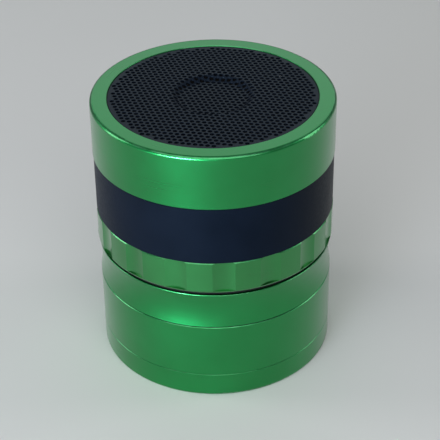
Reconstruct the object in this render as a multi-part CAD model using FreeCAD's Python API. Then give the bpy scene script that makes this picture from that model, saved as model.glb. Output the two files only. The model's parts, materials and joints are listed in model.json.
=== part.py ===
import FreeCAD, Part
import math
import os

V = FreeCAD.Vector
UP = V(0, 0, 1)
ORIGIN = V(0, 0, 0)

# Driving dimensions, millimetres. Origin: bottom centre. Front is -Y, the controls are at the rear, +Y.
R_TOP = 31.5          # speaker housing
R_BAND = 31.3         # black band
R_LID = 31.4          # fluted lid, on its lands
R_BODY = 31.1         # storage chamber and catcher
R_COVE = 30.6         # waist of the cove in the grinding chamber's wall
R_LIP = 31.05         # lip at the head of the cove
Z_TOP = 73.4
Z_RING = 58.6         # underside of the speaker housing
Z_BAND = 42.6         # underside of the black band
Z_LID = 33.65         # lower edge of the fluted lid
Z_LIP = 32.65         # lip at the head of the cove
Z_STORE = 22.5        # joint between the grinding and storage chambers
Z_CATCH = 6.85        # joint between the storage chamber and the catcher
GAP_STORE = 0.3       # visible seams at the two screwed joints
GAP_CATCH = 0.08

THREAD_LEAD = 3.0
THREAD_STARTS = 2
R_BORE = 28.9         # root of every internal thread
R_BORE_CREST = 28.47
R_SPIGOT = 27.9       # root of every external thread
R_SPIGOT_CREST = 28.37

Z_FLOOR = 28.5        # top of the lower tooth plate
Z_CEILING = 40.1      # underside of the lid's tooth plate
PLATE_T = 2.5
R_PLATE = 26.6        # bores that hold the tooth plates
R_LID_PLATE = 29.2

FLUTES = 16
FLUTE_TURN = 3.65     # degrees from the front towards +X to the first flute
FLUTE_WIDTH = 10.5    # degrees
FLUTE_DEPTH = 0.35    # below the chord
FLUTE_FOOT = 0.5      # height of the bevelled rim left below each flute

R_GRILLE = 26.85
Z_GRILLE = 72.7       # underside of the flat part of the grille
GRILLE_T = 0.5
DISH_R = 9.0
DISH_DROP = 1.1
HOLE_PITCH = 1.53
HOLE_R = 0.57
HOLE_TURN = -12.0     # degrees, direction of one row of holes

R_BOSS = 22.5         # circle of the board and chassis screws
R_DRIVER_SCREW = 25.1
Z_BOARD = 48.0
BOARD_T = 1.2
Z_CONTROL = 50.8      # height of the rear controls and the charging socket

ANGLE_POWER = -46.0   # rear controls, degrees from +Y towards +X
ANGLE_LED = -26.0
ANGLE_DOWN = 24.0
ANGLE_PLAY = 41.0
ANGLE_UP = 58.0
BUTTON_R = 1.9
BUTTON_GAP = 0.15


def face_of(points):
    """Face in the XZ plane through (r, z) points; (r, z, rm, zm) is reached by an arc through (rm, zm)."""
    edges = []
    previous = points[-1]
    for point in points:
        start = V(previous[0], 0, previous[1])
        end = V(point[0], 0, point[1])
        if len(point) == 4:
            edges.append(Part.Arc(start, V(point[2], 0, point[3]), end).toShape())
        elif start.distanceToPoint(end) > 1e-6:
            edges.append(Part.LineSegment(start, end).toShape())
        previous = point
    return Part.Face(Part.Wire(edges))


def turned(points):
    """Solid of revolution about Z."""
    return face_of(points).revolve(ORIGIN, UP, 360)


def ring(r_in, r_out, z0, z1):
    return turned([(r_in, z0), (r_out, z0), (r_out, z1), (r_in, z1)])


def disc(r, z0, z1, x=0.0, y=0.0):
    return Part.makeCylinder(r, z1 - z0, V(x, y, z0))


def block(cx, cy, z0, sx, sy, sz):
    return Part.makeBox(sx, sy, sz, V(cx - sx / 2, cy - sy / 2, z0))


def turn(shape, degrees):
    copy = shape.copy()
    copy.rotate(ORIGIN, UP, degrees)
    return copy


def rear(shape, angle):
    """Carry a shape drawn at the rear, on +Y, round towards +X."""
    return turn(shape, -angle)


def around(shape, count, first=0.0):
    return [turn(shape, first + 360.0 * i / count) for i in range(count)]


def fuse(shapes):
    whole = shapes[0]
    if len(shapes) > 1:
        whole = shapes[0].multiFuse(shapes[1:])
    return whole.removeSplitter()


def cut(shape, tools):
    return shape.cut(Part.makeCompound(tools))


def outward(r, z, y0, y1):
    """Cylinder along +Y at the rear."""
    return Part.makeCylinder(r, y1 - y0, V(0, y0, z), V(0, 1, 0))


def slot_bar(width, height, z, y0, y1):
    """Round-ended bar along +Y, width across, height along Z."""
    r = height / 2
    bar = block(0, (y0 + y1) / 2, z - r, width - height, y1 - y0, height)
    ends = [outward(r, z, y0, y1) for _ in range(2)]
    ends[0].translate(V(width / 2 - r, 0, 0))
    ends[1].translate(V(r - width / 2, 0, 0))
    return fuse([bar] + ends)


# ---------------------------------------------------------------- threads

def ridge(r_root, r_crest, z0, height, start):
    """One helical ridge of trapezoid section between two heights, tapering out of the wall."""
    inside = r_crest < r_root
    sink = 0.25 if inside else -0.25
    helix = Part.makeHelix(THREAD_LEAD, height, r_root)
    wide = 0.42
    narrow = 0.16
    corners = [
        V(r_root + sink, 0, -wide),
        V(r_crest, 0, -narrow),
        V(r_crest, 0, narrow),
        V(r_root + sink, 0, wide),
    ]
    section = Part.makePolygon(corners + corners[:1])
    solid = Part.Wire(helix).makePipeShell([section], True, True)
    solid.translate(V(0, 0, z0))
    return turn(solid, 360.0 * start / THREAD_STARTS)


def threads(r_root, r_crest, z0, z1):
    return [ridge(r_root, r_crest, z0, z1 - z0, i) for i in range(THREAD_STARTS)]


# ---------------------------------------------------------------- screwed body parts

def kief_catcher():
    top = Z_CATCH - GAP_CATCH / 2
    body = turned([
        (0, 0.3), (26.8, 0.3), (27.1, 0), (30.3, 0), (R_BODY, 0.8, 30.866, 0.234),
        (R_BODY, top - 0.06), (R_BODY - 0.06, top),
        (30.35, top), (30.35, top - 0.5), (29.3, top - 0.5), (29.3, top),
        (R_BORE + 0.2, top), (R_BORE, top - 0.2), (R_BORE, 2.3),
        (26.9, 2.3), (25.9, 1.6, 26.2, 1.8), (0, 1.6),
    ])
    return fuse([body] + threads(R_BORE, R_BORE_CREST, 3.1, Z_CATCH - 1.0))


def seal(z_joint, gap):
    return ring(29.4, 30.25, z_joint - gap / 2 - 0.45, z_joint + gap / 2 - 0.04)


def storage_chamber():
    low = Z_CATCH + GAP_CATCH / 2
    top = Z_STORE - GAP_STORE / 2
    body = turned([
        (R_BODY - 0.06, low), (R_BODY, low + 0.06), (R_BODY, top - 0.15), (R_BODY - 0.15, top),
        (30.35, top), (30.35, top - 0.5), (29.3, top - 0.5), (29.3, top),
        (R_BORE + 0.2, top), (R_BORE, top - 0.2), (R_BORE, 16.5), (27.4, 16.1),
        (27.4, 8.0), (24.9, 8.0), (24.9, 3.0), (25.3, 2.6),
        (R_SPIGOT - 0.3, 2.6), (R_SPIGOT, 2.9), (R_SPIGOT, low - 0.7),
        (R_SPIGOT - 0.2, low - 0.6), (R_SPIGOT - 0.2, low),
    ])
    male = threads(R_SPIGOT, R_SPIGOT_CREST, 3.5, low - 1.1)
    female = threads(R_BORE, R_BORE_CREST, 17.4, top - 1.0)
    return fuse([body] + male + female)


def pollen_screen():
    return disc(27.3, 8.02, 8.17)


def screen_retainer():
    hoop = ring(25.7, 27.36, 8.2, 9.0)
    gap = block(0, -26.5, 8.0, 5.0, 4.0, 1.2)
    eyes = [disc(0.95, 8.2, 9.0, side * 3.4, -25.9) for side in (-1, 1)]
    holes = [disc(0.45, 8.0, 9.2, side * 3.4, -25.9) for side in (-1, 1)]
    return fuse([hoop.cut(gap)] + eyes).cut(Part.makeCompound(holes))


def tooth(radius, z_root, z_tip):
    """Diamond-section cutting tooth with a sharpened tip, long across the sweep."""
    def diamond(across, z):
        steps = ((0.675, 0), (0, 1), (-0.675, 0), (0, -1), (0.675, 0))
        return Part.makePolygon([V(radius + across * dx, across * dy, z) for dx, dy in steps])

    up = 1 if z_tip > z_root else -1
    z_neck = z_tip - up * 1.6
    shank = Part.makeLoft([diamond(2.0, z_root), diamond(1.8, z_neck)], True, True)
    tip = Part.makeLoft([diamond(1.8, z_neck), diamond(0.7, z_tip)], True, True)
    return shank.fuse(tip)


def teeth(rows, z_root, z_tip):
    return [t for radius, count, first in rows for t in around(tooth(radius, z_root, z_tip), count, first)]


CHAMBER_ROWS = ((24.0, 14, 0.0), (17.1, 10, 9.0), (10.2, 6, 20.0))
LID_ROWS = ((20.55, 12, 7.0), (13.65, 8, 4.0), (6.75, 4, 30.0))
DROP_ROWS = ((20.55, 15, 6.0), (13.65, 10, 9.0), (6.9, 5, 20.0))


def grinding_chamber():
    """Turned wall with the cove, the lip, a shoulder for the tooth plate and the threaded spigot."""
    low = Z_STORE + GAP_STORE / 2
    wall = turned([
        (R_SPIGOT - 0.2, low), (R_BODY - 0.05, low), (R_BODY, low + 0.05),
        (R_LIP, Z_LIP - 0.2, R_COVE, 27.5), (R_LIP - 0.2, Z_LIP, R_LIP - 0.059, Z_LIP - 0.059),
        (28.2, Z_LIP), (28.2, 38.2), (27.9, 38.5), (26.9, 38.5), (R_PLATE, 38.2),
        (R_PLATE, Z_FLOOR - PLATE_T), (26.0, Z_FLOOR - PLATE_T),
        (26.0, 17.4), (26.4, 17.0), (R_SPIGOT - 0.3, 17.0), (R_SPIGOT, 17.3), (R_SPIGOT, low - 0.7),
        (R_SPIGOT - 0.2, low - 0.6),
    ])
    return fuse([wall] + threads(R_SPIGOT, R_SPIGOT_CREST, 17.9, low - 1.1))


def chamber_tooth_plate():
    """Floor of the grinding space, with the holes that ground herb drops through and the magnet post."""
    low = Z_FLOOR - PLATE_T
    r = R_PLATE - 0.02
    plate = turned([(0, low), (r, low), (r, Z_FLOOR - 0.2), (r - 0.2, Z_FLOOR), (0, Z_FLOOR)])
    root = Z_FLOOR - 0.5
    post = turned([(0, root), (4.3, root), (3.9, 29.2), (3.9, 37.7), (3.6, 38.0), (0, 38.0)])
    drops = [h for r, n, a in DROP_ROWS for h in around(disc(1.7 if r > 8 else 1.1, 25, 29, r), n, a)]
    return cut(fuse([plate, post]), drops + [disc(3.02, 36.0, 38.5)])


def chamber_teeth():
    return Part.makeCompound(teeth(CHAMBER_ROWS, Z_FLOOR, 38.4))


def chamber_magnet():
    return disc(3.0, 36.02, 37.98)


def glide_ring():
    low = Z_LIP + 0.1
    top = Z_LID - 0.1
    r = R_LIP - 0.4
    return turned([
        (28.32, low), (r - 0.15, low), (r, low + 0.15), (r, top - 0.15), (r - 0.15, top), (28.32, top),
    ])


# ---------------------------------------------------------------- lid

def flute_tools():
    half = math.radians(FLUTE_WIDTH / 2)
    chord = R_LID * math.sin(half)
    rho = (chord ** 2 + FLUTE_DEPTH ** 2) / (2 * FLUTE_DEPTH)
    centre = R_LID * math.cos(half) - FLUTE_DEPTH + rho
    scoop = disc(rho, Z_LID + FLUTE_FOOT, Z_BAND + 1, 0, -centre)
    return around(scoop, FLUTES, FLUTE_TURN)


def grinder_lid():
    """Fluted skirt with a shoulder for its tooth plate."""
    top = Z_BAND - 0.02
    skirt = turned([
        (28.6, Z_LID + 0.2), (28.8, Z_LID), (R_LID - 0.25, Z_LID), (R_LID, Z_LID + FLUTE_FOOT),
        (R_LID, top - 0.2), (R_LID - 0.2, top), (R_LID_PLATE, top),
        (R_LID_PLATE, Z_CEILING), (28.6, Z_CEILING),
    ])
    return cut(skirt, flute_tools())


def lid_tooth_plate():
    top = Z_BAND - 0.02
    r = R_LID_PLATE - 0.02
    plate = turned([(0, Z_CEILING), (r - 0.2, Z_CEILING), (r, Z_CEILING + 0.2), (r, top), (0, top)])
    boss = disc(4.0, 38.4, Z_CEILING + 0.2)
    pilots = around(disc(0.8, 40.6, 43, R_BOSS), 3, 60)
    return cut(fuse([plate, boss]), pilots + [disc(3.02, 38.0, 40.4)])


def lid_teeth():
    return Part.makeCompound(teeth(LID_ROWS, Z_CEILING, 29.7))


def lid_magnet():
    return disc(3.0, 38.42, 40.38)


# ---------------------------------------------------------------- speaker shell

def wall_openings():
    tools = [
        slot_bar(9.5, 3.8, Z_CONTROL, 26, 33),
        rear(slot_bar(5.3, 2.5, Z_CONTROL, 26, 33), ANGLE_POWER),
        rear(outward(1.02, Z_CONTROL, 26, 33), ANGLE_LED),
    ]
    for angle in (ANGLE_DOWN, ANGLE_PLAY, ANGLE_UP):
        tools.append(rear(outward(BUTTON_R + BUTTON_GAP, Z_CONTROL, 26, 33), angle))
        tools.append(rear(outward(BUTTON_R + 0.7, Z_CONTROL, 30.9, 33), angle))
    tools.append(rear(slot_bar(7.2, 3.6, Z_CONTROL, 30.9, 33), ANGLE_POWER))
    return tools


def speaker_band():
    top = Z_RING - 0.05
    body = turned([
        (0, Z_BAND), (R_BAND - 0.15, Z_BAND), (R_BAND, Z_BAND + 0.15),
        (R_BAND, top - 0.15), (R_BAND - 0.15, top),
        (28.95, top), (28.95, 61.3), (28.65, 61.6), (27.9, 61.6), (27.6, 61.3),
        (27.6, 57.5), (28.8, 56.3), (28.8, 44.8), (28.2, 44.2, 28.62, 44.38), (0, 44.2),
    ])
    bosses = around(disc(2.0, 44.0, Z_BOARD, R_BOSS), 3)
    body = fuse([body] + bosses)
    pilots = around(disc(0.7, 44.5, Z_BOARD + 1, R_BOSS), 3)
    chassis = around(disc(1.1, 42, 45, R_BOSS), 3, 60) + around(disc(2.1, 43.4, 45, R_BOSS), 3, 60)
    return cut(body, pilots + chassis + wall_openings())


def speaker_housing():
    body = turned([
        (29.0, Z_RING), (R_TOP - 0.15, Z_RING), (R_TOP, Z_RING + 0.15),
        (R_TOP, Z_TOP - 0.9), (R_TOP - 0.9, Z_TOP, R_TOP - 0.264, Z_TOP - 0.264),
        (27.15, Z_TOP), (27.0, Z_TOP - 0.15), (27.0, 67.5), (24.5, 67.5), (24.5, 65.5), (28.4, 65.5),
        (29.0, 64.9, 28.824, 65.324),
    ])
    screws = around(disc(0.75, 65, 68, R_DRIVER_SCREW), 4, 45)
    return cut(body, screws)


def hole_centres():
    """Staggered rows of holes that keep clear of the rim and of the bend round the dish."""
    centres = []
    span = int(R_GRILLE / HOLE_PITCH) + 3
    turn_by = math.radians(HOLE_TURN)
    for i in range(-2 * span, 2 * span + 1):
        for j in range(-span, span + 1):
            a = (i + j / 2.0) * HOLE_PITCH
            b = j * HOLE_PITCH * math.sqrt(3) / 2
            r = math.hypot(a, b)
            if r > R_GRILLE - 0.95 or DISH_R - 0.75 < r < DISH_R + 2.2:
                continue
            x = a * math.cos(turn_by) - b * math.sin(turn_by)
            y = a * math.sin(turn_by) + b * math.cos(turn_by)
            centres.append((x, y, r))
    return centres


def grille_mesh():
    """Perforated sheet: a flat ring, a sloped step and the dished centre."""
    flat_in = DISH_R + 1.4
    low = Z_GRILLE - DISH_DROP

    def sheet(r_in, r_out, z, inner):
        edges = [Part.Wire(Part.makeCircle(r_out, V(0, 0, z)))]
        if r_in:
            edges.append(Part.Wire(Part.makeCircle(r_in, V(0, 0, z))))
        for x, y, r in hole_centres():
            if (r < DISH_R) == inner:
                edges.append(Part.Wire(Part.makeCircle(HOLE_R, V(x, y, z))))
        face = Part.makeFace(edges, "Part::FaceMakerBullseye")
        return face.extrude(V(0, 0, GRILLE_T))

    step = turned([
        (DISH_R, low), (flat_in, Z_GRILLE), (flat_in, Z_GRILLE + GRILLE_T), (DISH_R, low + GRILLE_T),
    ])
    outer = sheet(flat_in, R_GRILLE, Z_GRILLE, False)
    inner = sheet(0, DISH_R, low, True)
    return fuse([outer, step, inner])


def grille_ring():
    return ring(25.3, 26.99, 70.3, Z_GRILLE)


# ---------------------------------------------------------------- loudspeaker

def driver_gasket():
    return cut(ring(24.6, 26.8, 67.5, 68.0), around(disc(1.0, 67, 69, R_DRIVER_SCREW), 4, 45))


def driver_basket():
    flange = ring(23.0, 26.7, 68.0, 68.8)
    cone_wall = turned([
        (22.2, 68.8), (22.2, 68.4), (15.6, 63.2), (15.6, 62.95), (14.0, 62.95), (14.0, 62.2), (11.0, 60.0),
        (7.0, 60.0), (7.0, 59.2), (11.4, 59.2), (16.3, 62.6), (23.0, 68.0), (23.0, 68.8),
    ])
    body = fuse([flange, cone_wall])
    windows = [turn(block(19.0, 0, 63.6, 6.0, 9.0, 3.6), 45 + 90 * i) for i in range(4)]
    tag = block(0, -17.3, 61.0, 7.0, 0.8, 3.6)
    arm = block(0, -16.1, 63.2, 4.0, 2.8, 0.8)
    holes = around(disc(1.0, 67, 70, R_DRIVER_SCREW), 4, 45)
    return fuse([cut(body, windows + holes), tag, arm])


def driver_top_plate():
    return ring(6.55, 10.5, 58.0, 59.2)


def driver_magnet():
    return turned([
        (7.4, 55.6), (10.1, 55.6), (10.4, 55.9), (10.4, 57.7), (10.1, 58.0), (7.4, 58.0),
    ])


def driver_yoke():
    return turned([
        (0, 54.4), (9.9, 54.4), (10.5, 55.0), (10.5, 55.6), (5.6, 55.6), (5.6, 58.9), (5.3, 59.2), (0, 59.2),
    ])


def surround():
    return turned([
        (18.6, 68.8), (19.3, 68.8), (22.7, 68.8, 21.0, 70.5), (23.5, 68.8), (23.5, 69.1), (22.95, 69.1),
        (19.05, 69.1, 21.0, 70.85), (18.6, 69.1),
    ])


def spider():
    """Corrugated suspension between the coil former and the basket's shelf."""
    crests = 4
    inner, outer = 6.45, 14.2
    step = (outer - inner - 0.6) / crests
    top, bottom = [(inner, 63.2)], [(inner, 62.95)]
    for i in range(crests):
        r0 = inner + 0.3 + i * step
        rise = 0.35 if i % 2 else -0.35
        top += [(r0, 63.2), (r0 + step, 63.2, r0 + step / 2, 63.2 + rise)]
        bottom += [(r0, 62.95), (r0 + step, 62.95, r0 + step / 2, 62.95 + rise)]
    top.append((outer + 1.0, 63.2))
    points = bottom + [(outer + 1.0, 62.95)]
    back = list(reversed(top))
    outline = []
    for i, point in enumerate(back):
        came = back[i - 1] if i else None
        if came is not None and len(came) == 4:
            outline.append((point[0], point[1], came[2], came[3]))
        else:
            outline.append((point[0], point[1]))
    return turned(points + outline)


def cone():
    return turned([
        (18.4, 68.8), (6.6, 64.4), (6.6, 64.0), (7.1, 64.0), (18.6, 68.4), (19.3, 68.4), (19.3, 68.8),
    ])


def voice_coil():
    former = ring(5.9, 6.1, 57.3, 64.0)
    winding = ring(6.1, 6.4, 57.5, 59.7)
    neck = ring(5.9, 6.6, 63.7, 64.4)
    return fuse([former, winding, neck])


def on_dome(half_width, z_base, rise):
    """Point half-way along a spherical cap's profile, from its edge to its crown."""
    radius = (half_width ** 2 + rise ** 2) / (2 * rise)
    angle = math.asin(half_width / radius) / 2
    return radius * math.sin(angle), z_base + rise - radius + radius * math.cos(angle)


def dust_cap():
    rise = 2.2
    under = on_dome(7.4, 64.72, rise)
    over = on_dome(7.6, 64.8, rise + 0.2)
    return turned([(7.4, 64.72), (0, 64.72 + rise, *under), (0, 65.0 + rise), (7.6, 64.8, *over)])


# ---------------------------------------------------------------- electronics

def circuit_board():
    top = Z_BOARD + BOARD_T
    board = disc(26.6, Z_BOARD, top)
    holes = around(disc(1.1, Z_BOARD - 1, top + 1, R_BOSS), 3)
    pads = [disc(0.5, Z_BOARD - 1, top + 1, side * 1.6, -21) for side in (-1, 1)]
    flat = block(0, -27.4, Z_BOARD - 1, 30, 4, 4)
    return cut(board, holes + pads + [flat])


def radio_module():
    z = Z_BOARD + BOARD_T
    card = block(-8, -13, z, 12, 9, 0.6)
    can = block(-6.8, -13, z + 0.6, 8.4, 7.6, 1.5)
    return fuse([card, can])


def board_chips():
    z = Z_BOARD + BOARD_T
    parts = [block(7.5, -11, z, 6, 6, 0.95), block(-3, 5, z, 5, 5, 0.95), block(9, 3, z, 4, 5, 1.1)]
    parts += [block(x, 12.5, z, 1.6, 0.8, 0.7) for x in (-8, -4, 4, 8)]
    parts += [block(15.5, y, z, 0.8, 1.6, 0.7) for y in (-12, -8)]
    parts += [disc(2.0, z, z + 4.6, x, -2.5) for x in (-15.0, -19.6)]
    parts.append(block(3.0, -4.5, z, 4.2, 4.2, 2.2))
    parts.append(rear(block(0, 25.4, z, 1.6, 0.8, 0.7), ANGLE_LED))
    return Part.makeCompound(parts)


def usb_socket():
    z = Z_CONTROL
    shell = slot_bar(8.94, 3.2, z, 23.1, 30.4)
    bore = slot_bar(8.34, 2.6, z, 24.3, 31)
    tongue = block(0, 26.9, z - 0.35, 6.7, 5.4, 0.7)
    feet = [block(side * 4.0, 25.0, Z_BOARD + BOARD_T, 0.6, 1.2, 0.8) for side in (-1, 1)]
    return fuse([shell.cut(bore), tongue] + feet)


def tact_switches():
    z = Z_BOARD + BOARD_T
    case = block(0, 25.4, z, 5.8, 3.0, 3.4)
    plunger = outward(0.9, Z_CONTROL, 26.8, 27.45)
    one = fuse([case, plunger])
    return Part.makeCompound([rear(one, a) for a in (ANGLE_DOWN, ANGLE_PLAY, ANGLE_UP)])


def switch_body():
    z = Z_BOARD + BOARD_T
    case = block(0, 25.0, z, 8.6, 3.6, 3.2)
    groove = block(0, 26.4, Z_CONTROL - 0.9, 4.2, 1.4, 1.8)
    return rear(case.cut(groove), ANGLE_POWER)


def led_lens():
    pipe = outward(1.0, Z_CONTROL, 27.6, 31.28)
    return rear(fuse([pipe, outward(1.5, Z_CONTROL, 27.6, 28.5)]), ANGLE_LED)


def battery_cell():
    cell = Part.makeBox(28, 23, 2.8, V(-15, -11.5, 44.5))
    cell = cell.makeFillet(1.0, [e for e in cell.Edges if abs(e.tangentAt(e.FirstParameter).x) > 0.9])
    tab = block(13.9, 0, 45.3, 2.0, 14, 1.2)
    return fuse([cell, tab])


def battery_pad():
    return block(-1, 0, 44.2, 24, 19, 0.3)


def lead(points, radius, bend):
    """Round wire through the points, with each corner turned into a tangent arc."""
    corners = [V(*p) for p in points]
    edges = []
    start = corners[0]
    for before, corner, after in zip(corners, corners[1:], corners[2:]):
        back = (before - corner).normalize()
        ahead = (after - corner).normalize()
        half = back.getAngle(ahead) / 2
        reach = bend / math.tan(half)
        first = corner + back * reach
        last = corner + ahead * reach
        middle = (back + ahead).normalize()
        nearest = corner + middle * (bend / math.sin(half) - bend)
        edges.append(Part.LineSegment(start, first).toShape())
        edges.append(Part.Arc(first, nearest, last).toShape())
        start = last
    edges.append(Part.LineSegment(start, corners[-1]).toShape())
    path = Part.Wire(edges)
    section = Part.Wire(Part.makeCircle(radius, corners[0], corners[1] - corners[0]))
    return path.makePipeShell([section], True, True)


def battery_leads():
    wires = [lead([(14.9, y, 45.9), (18.0, y, 45.9), (18.0, y, Z_BOARD)], 0.45, 1.4) for y in (-1.2, 1.2)]
    return Part.makeCompound(wires)


def speaker_leads():
    top = Z_BOARD + BOARD_T
    wires = []
    for x in (-1.6, 1.6):
        route = [(x, -21, Z_BOARD), (x, -21, top + 5.5), (x, -18.2, top + 10.5), (x, -18.2, 63.4)]
        wires.append(lead(route, 0.45, 3.0))
    return Part.makeCompound(wires)


def pan_screw(x, y, z_seat, length, r_head, r_shank, h_head):
    """Cross-recessed pan-head screw, head seated on z_seat."""
    head = disc(r_head, z_seat, z_seat + h_head, x, y)
    rim = [e for e in head.Edges if abs(e.CenterOfMass.z - z_seat - h_head) < 1e-6]
    head = head.makeFillet(h_head * 0.45, rim[:1])
    shank = disc(r_shank, z_seat - length, z_seat + 0.1, x, y)
    bars = [block(x, y, z_seat + h_head * 0.45, *arm, h_head) for arm in ((r_head, 0.4), (0.4, r_head))]
    return fuse([head, shank]).cut(Part.makeCompound(bars))


def board_screws():
    one = pan_screw(R_BOSS, 0, Z_BOARD + BOARD_T, 4.2, 1.5, 0.7, 1.0)
    return Part.makeCompound(around(one, 3))


def chassis_screws():
    one = pan_screw(R_BOSS, 0, 43.4, 2.6, 1.7, 0.8, 1.0)
    return Part.makeCompound(around(one, 3, 60))


def driver_screws():
    one = pan_screw(R_DRIVER_SCREW, 0, 68.8, 3.2, 1.35, 0.75, 0.9)
    return Part.makeCompound(around(one, 4, 45))


# ---------------------------------------------------------------- rear controls

def push_button(angle):
    stem = outward(BUTTON_R, Z_CONTROL, 28.0, 31.55)
    rim = [e for e in stem.Edges if abs(e.CenterOfMass.y - 31.55) < 1e-6]
    stem = stem.makeFillet(0.35, rim[:1])
    flange = outward(2.5, Z_CONTROL, 27.9, 28.55)
    return rear(fuse([stem, flange]), angle)


def power_slider():
    knob = slot_bar(2.8, 2.0, Z_CONTROL, 28.0, 31.5)
    ribs = [block(x, 31.6, Z_CONTROL - 1.2, 0.3, 0.5, 2.4) for x in (-0.75, 0.0, 0.75)]
    knob = cut(knob, ribs)
    plate = block(0, 27.7, Z_CONTROL - 1.6, 6.4, 0.6, 3.2)
    tongue = block(0, 26.7, Z_CONTROL - 0.6, 1.2, 1.6, 1.2)
    part = fuse([knob, plate, tongue])
    part.translate(V(-1.0, 0, 0))
    return rear(part, ANGLE_POWER)


def build():
    nodes = {
        "kief_catcher": kief_catcher(),
        "catcher_seal": seal(Z_CATCH, GAP_CATCH),
        "storage_chamber": storage_chamber(),
        "pollen_screen": pollen_screen(),
        "screen_retainer": screen_retainer(),
        "storage_seal": seal(Z_STORE, GAP_STORE),
        "grinding_chamber": grinding_chamber(),
        "chamber_tooth_plate": chamber_tooth_plate(),
        "chamber_teeth": chamber_teeth(),
        "chamber_magnet": chamber_magnet(),
        "glide_ring": glide_ring(),
        "grinder_lid": grinder_lid(),
        "lid_tooth_plate": lid_tooth_plate(),
        "lid_teeth": lid_teeth(),
        "lid_magnet": lid_magnet(),
        "speaker_band": speaker_band(),
        "speaker_housing": speaker_housing(),
        "grille_mesh": grille_mesh(),
        "grille_ring": grille_ring(),
        "driver_gasket": driver_gasket(),
        "driver_basket": driver_basket(),
        "driver_top_plate": driver_top_plate(),
        "driver_magnet": driver_magnet(),
        "driver_yoke": driver_yoke(),
        "surround": surround(),
        "spider": spider(),
        "cone": cone(),
        "voice_coil": voice_coil(),
        "dust_cap": dust_cap(),
        "circuit_board": circuit_board(),
        "radio_module": radio_module(),
        "board_chips": board_chips(),
        "usb_socket": usb_socket(),
        "tact_switches": tact_switches(),
        "switch_body": switch_body(),
        "led_lens": led_lens(),
        "battery_cell": battery_cell(),
        "battery_pad": battery_pad(),
        "battery_leads": battery_leads(),
        "speaker_leads": speaker_leads(),
        "board_screws": board_screws(),
        "chassis_screws": chassis_screws(),
        "driver_screws": driver_screws(),
        "volume_down_button": push_button(ANGLE_DOWN),
        "play_button": push_button(ANGLE_PLAY),
        "volume_up_button": push_button(ANGLE_UP),
        "power_slider": power_slider(),
    }
    os.makedirs("parts", exist_ok=True)
    for name, shape in nodes.items():
        print(name, len(shape.Solids), shape.isValid(), round(shape.Volume, 3))
        shape.exportStep("parts/" + name + ".step")


build()
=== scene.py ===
import json
import math

import bmesh
import bpy
from mathutils import Matrix, Vector


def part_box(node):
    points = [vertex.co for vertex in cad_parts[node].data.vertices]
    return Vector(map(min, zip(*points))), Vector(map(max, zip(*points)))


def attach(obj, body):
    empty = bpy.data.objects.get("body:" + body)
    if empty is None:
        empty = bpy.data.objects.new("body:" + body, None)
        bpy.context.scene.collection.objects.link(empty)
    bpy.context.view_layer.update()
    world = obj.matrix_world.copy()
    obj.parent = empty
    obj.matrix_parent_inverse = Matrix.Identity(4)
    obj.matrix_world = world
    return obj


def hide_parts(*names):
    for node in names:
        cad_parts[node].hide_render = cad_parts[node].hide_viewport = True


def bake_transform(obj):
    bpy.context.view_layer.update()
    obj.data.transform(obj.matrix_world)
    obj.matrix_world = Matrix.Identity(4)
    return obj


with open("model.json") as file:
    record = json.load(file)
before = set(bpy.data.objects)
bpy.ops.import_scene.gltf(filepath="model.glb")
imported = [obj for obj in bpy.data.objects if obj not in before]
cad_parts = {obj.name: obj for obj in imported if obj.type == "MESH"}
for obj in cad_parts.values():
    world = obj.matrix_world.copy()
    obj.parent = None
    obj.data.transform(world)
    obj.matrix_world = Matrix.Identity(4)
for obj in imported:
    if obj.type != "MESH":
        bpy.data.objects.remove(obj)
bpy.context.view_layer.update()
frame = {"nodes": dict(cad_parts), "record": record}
MM = 0.001


# ---------------------------------------------------------------- node helpers

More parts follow.
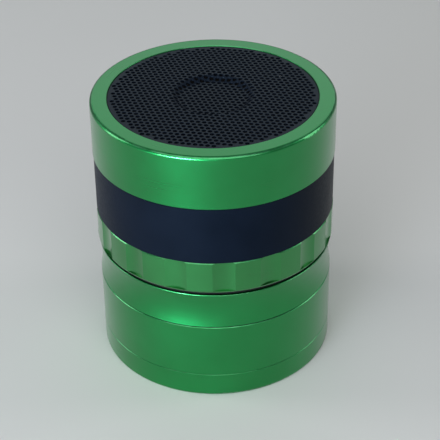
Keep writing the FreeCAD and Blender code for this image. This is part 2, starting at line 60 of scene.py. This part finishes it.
class Finish:
    """A material under construction: a Principled shader and the nodes that feed it."""

    def __init__(self, name, **sockets):
        self.material = bpy.data.materials.new(name)
        self.material.use_nodes = True
        self.tree = self.material.node_tree
        self.shader = self.tree.nodes["Principled BSDF"]
        for key, value in sockets.items():
            self.shader.inputs[key.replace("_", " ")].default_value = value

    def link(self, source, target):
        self.tree.links.new(source, target)

    def math(self, operation, a, b=None, clamp=False):
        node = self.tree.nodes.new("ShaderNodeMath")
        node.operation = operation
        node.use_clamp = clamp
        for socket, value in zip(node.inputs, (a, b)):
            if value is None:
                continue
            if isinstance(value, (int, float)):
                socket.default_value = value
            else:
                self.link(value, socket)
        return node.outputs[0]

    def spread(self, value, low, high, to_low, to_high):
        node = self.tree.nodes.new("ShaderNodeMapRange")
        self.link(value, node.inputs["Value"])
        for key, number in zip(("From Min", "From Max", "To Min", "To Max"), (low, high, to_low, to_high)):
            node.inputs[key].default_value = number
        return node.outputs["Result"]

    def place(self):
        return self.tree.nodes.new("ShaderNodeTexCoord").outputs["Object"]

    def parts(self, vector):
        node = self.tree.nodes.new("ShaderNodeSeparateXYZ")
        self.link(vector, node.inputs[0])
        return node.outputs

    def vector(self, x, y, z):
        node = self.tree.nodes.new("ShaderNodeCombineXYZ")
        for socket, value in zip(node.inputs, (x, y, z)):
            if isinstance(value, (int, float)):
                socket.default_value = value
            else:
                self.link(value, socket)
        return node.outputs[0]

    def noise(self, vector, scale, detail=2.0, roughness=0.5):
        node = self.tree.nodes.new("ShaderNodeTexNoise")
        self.link(vector, node.inputs["Vector"])
        node.inputs["Scale"].default_value = scale
        node.inputs["Detail"].default_value = detail
        node.inputs["Roughness"].default_value = roughness
        return node.outputs["Fac"]

    def voronoi(self, vector, scale):
        node = self.tree.nodes.new("ShaderNodeTexVoronoi")
        self.link(vector, node.inputs["Vector"])
        node.inputs["Scale"].default_value = scale
        return node.outputs["Distance"]

    def wave(self, vector, scale):
        node = self.tree.nodes.new("ShaderNodeTexWave")
        self.link(vector, node.inputs["Vector"])
        node.inputs["Scale"].default_value = scale
        return node.outputs["Fac"]

    def mix(self, factor, a, b):
        node = self.tree.nodes.new("ShaderNodeMix")
        node.data_type = "RGBA"
        if isinstance(factor, (int, float)):
            node.inputs[0].default_value = factor
        else:
            self.link(factor, node.inputs[0])
        for socket, value in ((node.inputs[6], a), (node.inputs[7], b)):
            if isinstance(value, (tuple, list)):
                socket.default_value = (*value, 1.0)
            else:
                self.link(value, socket)
        return node.outputs[2]

    def colour(self, value):
        self.link(value, self.shader.inputs["Base Color"])

    def roughness(self, value):
        self.link(value, self.shader.inputs["Roughness"])

    def bump(self, height, strength, distance):
        node = self.tree.nodes.new("ShaderNodeBump")
        node.inputs["Strength"].default_value = strength
        node.inputs["Distance"].default_value = distance
        self.link(height, node.inputs["Height"])
        self.link(node.outputs["Normal"], self.shader.inputs["Normal"])

    def radius(self, place):
        """Distance from the vertical axis, and the height."""
        x, y, z = self.parts(place)
        square = self.math("ADD", self.math("MULTIPLY", x, x), self.math("MULTIPLY", y, y))
        return self.math("SQRT", square), z


def lathe_grain(finish, place, pitch):
    """Fine rings left by turning: noise that depends on radius and height, hardly on angle."""
    r, z = finish.radius(place)
    return finish.noise(finish.vector(r, 0.0, z), 1.0 / pitch, 3.0, 0.6)


def anodised(name, colour, dark, light, roughness=0.3, grain=0.00028, shaded_seat=None):
    """Dyed, satin-anodised aluminium: tinted metal under a thin clear oxide layer, paler on slopes (wear
    and painted highlight).

    seat is the radius and the height of a flat seating face down in a joint's gap, turned dark green there
    as painted shade.
    """
    f = Finish(name, Metallic=1.0, Coat_Weight=0.7, Coat_Roughness=0.13, Coat_IOR=1.5)
    place = f.place()
    cloud = f.noise(place, 55.0, 3.0, 0.55)
    speck = f.noise(place, 4200.0, 2.0, 0.5)
    rings = lathe_grain(f, place, grain)
    tint = f.mix(f.spread(cloud, 0.3, 0.7, 0.0, 1.0), dark, colour)
    normal = f.parts(f.tree.nodes.new("ShaderNodeNewGeometry").outputs["Normal"])[2]
    slope = f.math("ABSOLUTE", normal)
    # faces tilted about 10 to 65 degrees from level turn paler, broken up by noise: partly worn edges,
    # partly a painted highlight on roundings and chamfers
    edge = f.math("MULTIPLY", f.spread(slope, 0.45, 0.6, 0.0, 1.0), f.spread(slope, 0.9, 0.98, 1.0, 0.0))
    wear_and_highlight = f.math("MULTIPLY", edge, f.spread(f.noise(place, 420.0, 3.0, 0.6), 0.35, 0.7, 0.15, 0.8))
    shade = f.mix(wear_and_highlight, tint, light)
    # painted shade: flat faces at the seat's radius and height, down in the joint's gap, are turned dark
    # green
    if shaded_seat:
        seat_radius, seat_height = shaded_seat
        r, z = f.radius(place)
        gap_shade_mask = f.math("MULTIPLY", f.spread(r, seat_radius - 0.00005, seat_radius, 1.0, 0.0),
                       f.spread(normal, 0.97, 0.99, 0.0, 1.0))
        gap_shade_mask = f.math("MULTIPLY", gap_shade_mask, f.math("GREATER_THAN", z, seat_height - 0.0005))
        painted_gap_shade = f.mix(f.noise(place, 300.0), (0.0015, 0.02, 0.006), (0.002, 0.045, 0.012))
        shade = f.mix(gap_shade_mask, shade, painted_gap_shade)
    f.colour(shade)
    f.roughness(f.math("ADD", f.spread(rings, 0.3, 0.7, roughness - 0.02, roughness + 0.03),
                       f.spread(cloud, 0.3, 0.7, -0.02, 0.03)))
    height = f.math("ADD", f.math("MULTIPLY", rings, 0.06), f.math("MULTIPLY", speck, 0.94))
    f.bump(height, 0.2, 0.00002)
    return f.material


def moulded(name, colour, pale, roughness=0.45, scale=1500.0, strength=0.25, specular=0.4,
            gleam=(1.0, 1.0, 1.0)):
    """Fine-textured moulded plastic with faint handling marks."""
    f = Finish(name, Specular_IOR_Level=specular, Specular_Tint=(*gleam, 1.0))
    place = f.place()
    fine = f.noise(place, scale, 3.0, 0.6)
    broad = f.noise(place, 70.0, 3.0, 0.55)
    f.colour(f.mix(f.spread(broad, 0.35, 0.75, 0.0, 1.0), colour, pale))
    f.roughness(f.math("ADD", f.spread(fine, 0.3, 0.7, roughness - 0.05, roughness + 0.05),
                       f.spread(broad, 0.4, 0.8, 0.0, 0.08)))
    f.bump(fine, strength, 0.00005)
    return f.material


def metal(name, colour, dark, roughness=0.3, scale=900.0, rings=0.0):
    """Bare or plated metal with fine scratches, or turned rings where a pitch is given."""
    f = Finish(name, Metallic=1.0)
    place = f.place()
    if rings:
        fine = lathe_grain(f, place, rings)
    else:
        drawn_out = [f.math("MULTIPLY", part, k) for part, k in zip(f.parts(place), (1.0, 0.12, 1.0))]
        fine = f.noise(f.vector(*drawn_out), scale, 3.0, 0.6)
    broad = f.noise(place, 130.0, 2.0, 0.5)
    f.colour(f.mix(f.spread(broad, 0.3, 0.7, 0.0, 1.0), dark, colour))
    f.roughness(f.spread(fine, 0.3, 0.7, roughness - 0.08, roughness + 0.1))
    f.bump(fine, 0.12, 0.00003)
    return f.material


def fibre(name, colour, pale, weave=0.0, roughness=0.85, scale=900.0):
    """Paper pulp, foam or woven cloth."""
    f = Finish(name, Specular_IOR_Level=0.2)
    place = f.place()
    broad = f.noise(place, 260.0, 4.0, 0.65)
    if weave:
        x, y, _ = f.parts(place)
        warp, weft = [f.wave(f.vector(along, 0.0, 0.0), weave) for along in (x, y)]
        threads = f.math("MULTIPLY", warp, weft)
        fine = f.math("ADD", threads, f.math("MULTIPLY", f.noise(place, scale, 2.0), 0.4))
    else:
        fine = f.voronoi(place, scale)
    f.colour(f.mix(f.spread(broad, 0.3, 0.7, 0.0, 1.0), colour, pale))
    f.roughness(f.spread(fine, 0.1, 0.9, roughness - 0.08, roughness + 0.08))
    f.bump(fine, 0.4, 0.00012)
    return f.material


def board_mask(name):
    """Green solder mask over copper tracks that run one way or the other in each square cell."""
    f = Finish(name, Roughness=0.35, Coat_Weight=0.3, Coat_Roughness=0.2)
    cell, half_track = 0.0011, 0.00018
    x, y, _ = f.parts(f.place())
    cells = f.vector(f.math("SNAP", x, cell), f.math("SNAP", y, cell), 0.0)
    choice = f.noise(cells, 900.0, 0.0)
    along_x = f.math("LESS_THAN", f.math("PINGPONG", y, cell / 2), half_track)
    along_y = f.math("LESS_THAN", f.math("PINGPONG", x, cell / 2), half_track)
    pick = f.math("GREATER_THAN", choice, 0.5)
    tracks = f.math("ADD", f.math("MULTIPLY", along_x, pick),
                    f.math("MULTIPLY", along_y, f.math("SUBTRACT", 1.0, pick)), clamp=True)
    f.colour(f.mix(tracks, (0.005, 0.05, 0.02), (0.02, 0.13, 0.05)))
    f.roughness(f.spread(f.noise(f.place(), 800.0), 0.3, 0.7, 0.3, 0.42))
    f.bump(tracks, 0.5, 0.00003)
    return f.material


def lens(name):
    """Frosted clear light pipe."""
    f = Finish(name, Transmission_Weight=0.6, IOR=1.49)
    place = f.place()
    f.colour(f.mix(f.noise(place, 600.0), (0.75, 0.8, 0.85), (0.9, 0.93, 0.95)))
    f.roughness(f.spread(f.noise(place, 1800.0), 0.3, 0.7, 0.3, 0.45))
    f.bump(f.noise(place, 2500.0), 0.2, 0.00003)
    return f.material


# ---------------------------------------------------------------- finishes

GREEN = (0.007, 0.27, 0.060)
GREEN_DARK = (0.005, 0.24, 0.050)
GREEN_PALE = (0.08, 0.42, 0.17)
LID_GREEN = (0.034, 0.27, 0.068)
LID_DARK = (0.030, 0.24, 0.060)
# radius and height of the storage chamber's top seat face, darkened with painted shade in the joint's gap
STORAGE_SHADED_SEAT = (0.03094, 0.02235)

finishes = {
    "green_housing": anodised("anodised_housing", GREEN, GREEN_DARK, GREEN_PALE),
    "green_lid": anodised("anodised_lid", LID_GREEN, LID_DARK, GREEN_PALE, grain=0.0004),
    "green_chamber": anodised("anodised_chamber", GREEN, GREEN_DARK, GREEN_PALE),
    "green_storage": anodised("anodised_storage", GREEN, GREEN_DARK, GREEN_PALE, shaded_seat=STORAGE_SHADED_SEAT),
    "green_catcher": anodised("anodised_catcher", GREEN, GREEN_DARK, GREEN_PALE),
    "seal_ring": moulded("seal_white", (0.62, 0.62, 0.58), (0.7, 0.7, 0.67), 0.4),
    "glide_plastic": moulded("glide_black", (0.004, 0.005, 0.005), (0.008, 0.009, 0.009), 0.6,
                             specular=0.12),
    "screen_steel": metal("screen_steel", (0.6, 0.6, 0.58), (0.48, 0.48, 0.47), 0.3),
    "spring_steel": metal("spring_steel", (0.3, 0.3, 0.31), (0.2, 0.2, 0.21), 0.32),
    "magnet_nickel": metal("nickel_plate", (0.62, 0.6, 0.56), (0.5, 0.48, 0.45), 0.16, rings=0.0003),
    "band_black": moulded("band_black", (0.0016, 0.0034, 0.0075), (0.0026, 0.005, 0.0105), 0.42,
                          specular=0.09, gleam=(0.5, 0.75, 1.0)),
    "grille_black": moulded("grille_black", (0.004, 0.007, 0.014), (0.007, 0.011, 0.019), 0.4, 2600.0,
                            0.35, specular=0.2, gleam=(0.5, 0.72, 1.0)),
    "ring_black": moulded("ring_black", (0.006, 0.006, 0.007), (0.01, 0.01, 0.012), 0.5),
    "gasket_foam": fibre("gasket_foam", (0.012, 0.012, 0.012), (0.02, 0.02, 0.02)),
    "basket_steel": moulded("basket_black", (0.008, 0.008, 0.009), (0.014, 0.014, 0.015), 0.4),
    "plate_steel": metal("plate_zinc", (0.5, 0.5, 0.48), (0.38, 0.38, 0.38), 0.35, rings=0.0003),
    "ferrite": moulded("ferrite", (0.02, 0.02, 0.021), (0.035, 0.035, 0.036), 0.6),
    "yoke_steel": metal("yoke_zinc", (0.5, 0.5, 0.48), (0.38, 0.38, 0.38), 0.35, rings=0.0003),
    "surround_rubber": moulded("surround_rubber", (0.008, 0.008, 0.008), (0.014, 0.014, 0.014), 0.62),
    "spider_cloth": fibre("spider_cloth", (0.25, 0.11, 0.02), (0.33, 0.16, 0.04), weave=1400.0),
    "cone_paper": fibre("cone_pulp", (0.009, 0.009, 0.01), (0.02, 0.02, 0.021)),
    "coil_copper": metal("coil_copper", (0.62, 0.24, 0.09), (0.45, 0.16, 0.06), 0.3, rings=0.0002),
    "cap_paper": fibre("cap_pulp", (0.008, 0.008, 0.009), (0.016, 0.016, 0.017)),
    "board_green": board_mask("board_green"),
    "module_can": metal("module_can", (0.6, 0.6, 0.58), (0.5, 0.5, 0.48), 0.25),
    "chip_black": moulded("chip_black", (0.01, 0.01, 0.011), (0.02, 0.02, 0.021), 0.5),
    "socket_steel": metal("socket_steel", (0.6, 0.6, 0.6), (0.48, 0.48, 0.48), 0.22),
    "switch_case": moulded("switch_case", (0.01, 0.01, 0.01), (0.018, 0.018, 0.018), 0.45),
    "slide_case": metal("slide_case", (0.58, 0.58, 0.57), (0.46, 0.46, 0.46), 0.28),
    "lens_clear": lens("lens_frosted"),
    "cell_foil": metal("cell_foil", (0.55, 0.56, 0.57), (0.45, 0.46, 0.47), 0.4, scale=400.0),
    "pad_foam": fibre("pad_foam", (0.02, 0.02, 0.02), (0.035, 0.035, 0.035)),
    "wire_red_black": moulded("wire_red", (0.35, 0.012, 0.01), (0.42, 0.02, 0.015), 0.4),
    "wire_speaker": moulded("wire_blue", (0.01, 0.02, 0.2), (0.015, 0.03, 0.27), 0.4),
    "screw_steel": metal("screw_zinc", (0.52, 0.52, 0.5), (0.4, 0.4, 0.4), 0.3),
    "button_black": moulded("button_black", (0.008, 0.01, 0.014), (0.014, 0.017, 0.022), 0.38),
}
slot_of = {part["node"]: part["material_slot"] for part in frame["record"]["subparts"]}
for node, obj in frame["nodes"].items():
    finish = finishes[slot_of[node]]
    if obj.material_slots:
        for place in obj.material_slots:
            place.material = finish
    else:
        obj.data.materials.append(finish)


# ---------------------------------------------------------------- mesh helpers

def piece(name, mesh, body, slot, replaces=()):
    obj = bpy.data.objects.new(name, mesh)
    bpy.context.scene.collection.objects.link(obj)
    obj.data.materials.append(finishes[slot])
    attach(obj, body)
    if replaces:
        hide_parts(*replaces)
    return obj


def mesh_from(name, verts, faces, smooth_angle=35.0, closed=False):
    """Mesh with sharp edges kept; closed bridges the two open rims of a sheet."""
    mesh = bpy.data.meshes.new(name)
    mesh.from_pydata(verts, [], faces)
    mesh.validate()
    bm = bmesh.new()
    bm.from_mesh(mesh)
    if closed:
        bmesh.ops.bridge_loops(bm, edges=[edge for edge in bm.edges if len(edge.link_faces) == 1])
    bmesh.ops.recalc_face_normals(bm, faces=bm.faces)
    limit = math.radians(smooth_angle)
    for face in bm.faces:
        face.smooth = True
    for edge in bm.edges:
        edge.smooth = len(edge.link_faces) == 2 and edge.calc_face_angle(0.0) < limit
    bm.to_mesh(mesh)
    bm.free()
    return mesh


# ---------------------------------------------------------------- perforated grille

def grille():
    """Staggered round holes in one slightly crowned sheet that dips at its centre, with a plain rim."""
    low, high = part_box("grille_mesh")
    outer = (high[0] - low[0]) / 2
    top = high[2]
    thick = 0.5 * MM
    bevel = 0.05 * MM
    drop = 1.1 * MM
    crown = 0.2 * MM
    dish = 8.4 * MM
    slope = 2.3 * MM
    margin = 0.75 * MM
    pitch = 1.53 * MM
    hole = 0.57 * MM
    turn = math.radians(-12.0)
    depth = (0.0, bevel, thick - bevel, thick)
    wall = ((hole + bevel, 0), (hole, 1), (hole, 2), (hole + bevel, 3))
    verts, faces, index = [], [], {}

    def height(r):
        t = min(max((r - dish) / slope, 0.0), 1.0)
        return top + crown * (1.0 - (r / outer) ** 2) - drop * (1.0 - t * t * (3.0 - 2.0 * t))

    def vert(point, level):
        r = math.hypot(*point)
        shrink = min(1.0, outer / r) if r else 1.0
        a, b = point[0] * shrink, point[1] * shrink
        x = a * math.cos(turn) - b * math.sin(turn)
        y = a * math.sin(turn) + b * math.cos(turn)
        key = (round(x * 1e7), round(y * 1e7), level)
        if key not in index:
            index[key] = len(verts)
            verts.append((x, y, height(min(r, outer)) - depth[level]))
        return index[key]

    def face(*ids):
        kept = [i for n, i in enumerate(ids) if i != ids[n - 1]]
        if len(set(kept)) >= 3:
            faces.append(kept)

    def cell(ca, cb):
        def circle(radius, count, first):
            angles = [2 * math.pi * k / count + first for k in range(count)]
            return [(ca + radius * math.cos(a), cb + radius * math.sin(a)) for a in angles]

        corner = circle(pitch / math.sqrt(3), 6, math.pi / 6)
        middle = circle(pitch / 2, 6, math.pi / 3)
        distance = math.hypot(ca, cb)
        if distance > outer and min(math.hypot(*c) for c in corner) >= outer:
            return
        pierced = distance < outer - margin
        rim = circle(hole + bevel, 12, math.pi / 6)
        for level in (0, 3):
            for k in range(6):
                start, mid, end = [vert(p, level) for p in (corner[k], middle[k], corner[(k + 1) % 6])]
                if pierced:
                    a, b, c = [vert(rim[n % 12], level) for n in (2 * k, 2 * k + 1, 2 * k + 2)]
                    face(start, mid, b, a)
                    face(mid, end, c, b)
                else:
                    centre = vert((ca, cb), level)
                    face(start, mid, centre)
                    face(mid, end, centre)
        if pierced:
            loops = [[vert(p, level) for p in circle(r, 12, math.pi / 6)] for r, level in wall]
            for upper, lower in zip(loops, loops[1:]):
                for n in range(12):
                    m = (n + 1) % 12
                    face(upper[n], upper[m], lower[m], lower[n])

    steps = int(outer / pitch) + 3
    for i in range(-2 * steps, 2 * steps + 1):
        for j in range(-steps, steps + 1):
            cell((i + j / 2.0) * pitch, j * pitch * math.sqrt(3) / 2)
    piece("grille_sheet", mesh_from("grille_sheet", verts, faces, closed=True), "lid", "grille_black",
          ("grille_mesh",))


grille()


# ---------------------------------------------------------------- woven screen

def screen():
    """Flat-rolled wires woven over and under one another, held in a thin hoop."""
    low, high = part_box("pollen_screen")
    outer = (high[0] - low[0]) / 2
    middle = (low[2] + high[2]) / 2
    pitch = 0.7 * MM
    wide, tall, lift = 0.1 * MM, 0.032 * MM, 0.036 * MM
    hoop = 0.4 * MM
    reach = outer - 0.5 * hoop
    verts, faces = [], []
    section = [(wide, 0.0), (0.0, tall), (-wide, 0.0), (0.0, -tall)]
    count = int(reach / pitch)
    for across in (False, True):
        for n in range(-count, count + 1):
            offset = n * pitch
            half = math.sqrt(reach ** 2 - offset ** 2)
            crossings = int(half / pitch)
            stations = [-half] + [k * pitch / 2 for k in range(-2 * crossings, 2 * crossings + 1)] + [half]
            first = len(verts)
            for s in stations:
                sign = -1 if across else 1
                rise = sign * (-1) ** n * lift * math.cos(math.pi * s / pitch)
                for side, up in section:
                    x, y = (offset + side, s) if across else (s, offset + side)
                    verts.append((x, y, middle + rise + up))
            for k in range(len(stations) - 1):
                a = first + 4 * k
                faces += [(a + c, a + (c + 1) % 4, a + 4 + (c + 1) % 4, a + 4 + c) for c in range(4)]
            last = len(verts) - 4
            faces += [(first, first + 1, first + 2, first + 3), (last + 3, last + 2, last + 1, last)]
    around = 180
    ring = [(outer, low[2]), (outer, high[2]), (outer - hoop, high[2]), (outer - hoop, low[2])]
    first = len(verts)
    for k in range(around):
        angle = 2 * math.pi * k / around
        verts += [(r * math.cos(angle), r * math.sin(angle), z) for r, z in ring]
    for k in range(around):
        a = first + 4 * k
        b = first + 4 * ((k + 1) % around)
        faces += [(a + c, b + c, b + (c + 1) % 4, a + (c + 1) % 4) for c in range(4)]
    piece("woven_screen", mesh_from("woven_screen", verts, faces), "storage_chamber", "screen_steel",
          ("pollen_screen",))


screen()


# ---------------------------------------------------------------- loudspeaker suspension

def suspension(node, name, inner, outer):
    """A copy of a suspension ring baked into place; each vertex's share between the inner and outer radius
    is worked out but not used.
    """
    source = frame["nodes"][node]
    ring = bpy.data.objects.new(name, source.data.copy())
    ring.matrix_world = source.matrix_world
    bpy.context.scene.collection.objects.link(ring)
    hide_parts(node)
    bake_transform(ring)
    # the shares run with the radius and not along one line
    for vertex in ring.data.vertices:
        share = (math.hypot(vertex.co.x, vertex.co.y) - inner) / (outer - inner)
        share = min(max(share, 0.0), 1.0)


suspension("surround", "surround_roll", 19.3 * MM, 22.7 * MM)
suspension("spider", "spider_sheet", 6.75 * MM, 14.2 * MM)


# ---------------------------------------------------------------- camera, floor and light

def studio():
    floor_mesh = bpy.data.meshes.new("floor")
    half = 3.0
    level = -0.00002
    corners = [(-half, -half, level), (half, -half, level), (half, half, level), (-half, half, level)]
    floor_mesh.from_pydata(corners, [], [(0, 1, 2, 3)])
    floor = bpy.data.objects.new("floor", floor_mesh)
    bpy.context.scene.collection.objects.link(floor)
    f = Finish("floor_pale", Roughness=0.75)
    f.colour(f.mix(f.noise(f.place(), 6.0), (0.66, 0.66, 0.65), (0.7, 0.7, 0.69)))
    floor.data.materials.append(f.material)

    world = bpy.data.worlds.new("studio")
    world.use_nodes = True
    world.node_tree.nodes["Background"].inputs["Color"].default_value = (0.92, 0.95, 1.0, 1.0)
    world.node_tree.nodes["Background"].inputs["Strength"].default_value = 0.18
    bpy.context.scene.world = world

    def area(name, place, aim, size, power, tone=(1.0, 1.0, 1.0)):
        data = bpy.data.lights.new(name, "AREA")
        data.shape = "RECTANGLE"
        data.size, data.size_y = size
        data.energy = power
        data.color = tone
        obj = bpy.data.objects.new(name, data)
        obj.location = place
        obj.rotation_euler = (Vector(aim) - Vector(place)).to_track_quat("-Z", "Y").to_euler()
        bpy.context.scene.collection.objects.link(obj)

    area("key", (-0.42, -0.71, 0.09), (0, 0, 0.03), (0.5, 0.17), 6.4, (0.93, 1.0, 1.06))
    area("low_left", (-0.34, -0.62, 0.035), (0, 0, 0.025), (0.22, 0.06), 2.5, (0.85, 1.0, 1.5))
    area("front", (0.1, -0.85, 0.6), (0, 0, 0.04), (1.3, 0.5), 3.2)
    area("overhead", (-0.1, -0.3, 0.62), (0, 0, 0.03), (0.7, 0.4), 1.2)
    area("back_wall", (0.0, 0.95, 0.75), (0, 0, 0.05), (1.3, 0.8), 2.3, (0.88, 1.0, 0.98))
    area("left_strip", (-0.75, 0.1, 0.3), (0, 0, 0.04), (0.25, 0.6), 1.6)
    area("right_strip", (0.75, 0.1, 0.3), (0, 0, 0.04), (0.25, 0.6), 1.2)


def camera():
    """Viewpoint above the front, level with a hand-held camera about a third of a metre away."""
    data = bpy.data.cameras.new("camera")
    data.sensor_width = 36.0
    data.sensor_fit = "HORIZONTAL"
    data.lens = 117.99
    data.clip_start = 0.01
    obj = bpy.data.objects.new("camera", data)
    pitch, yaw, roll = 0.5859, 0.0041, -0.0144
    distance, elevation = 0.36808, 0.4995
    ahead = Vector((math.sin(yaw) * math.cos(pitch), math.cos(yaw) * math.cos(pitch), -math.sin(pitch)))
    right = ahead.cross(Vector((0, 0, 1))).normalized()
    up = right.cross(ahead)
    c, s = math.cos(roll), math.sin(roll)
    x_axis = c * right + s * up
    y_axis = c * up - s * right
    basis = Matrix((x_axis, y_axis, -ahead)).transposed().to_4x4()
    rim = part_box("speaker_housing")[1][2] - 0.0004
    basis.translation = Vector((0, -distance * math.cos(elevation), rim + distance * math.sin(elevation)))
    obj.matrix_world = basis
    bpy.context.scene.collection.objects.link(obj)
    bpy.context.scene.camera = obj


studio()
camera()
bpy.context.scene.view_settings.view_transform = "Standard"
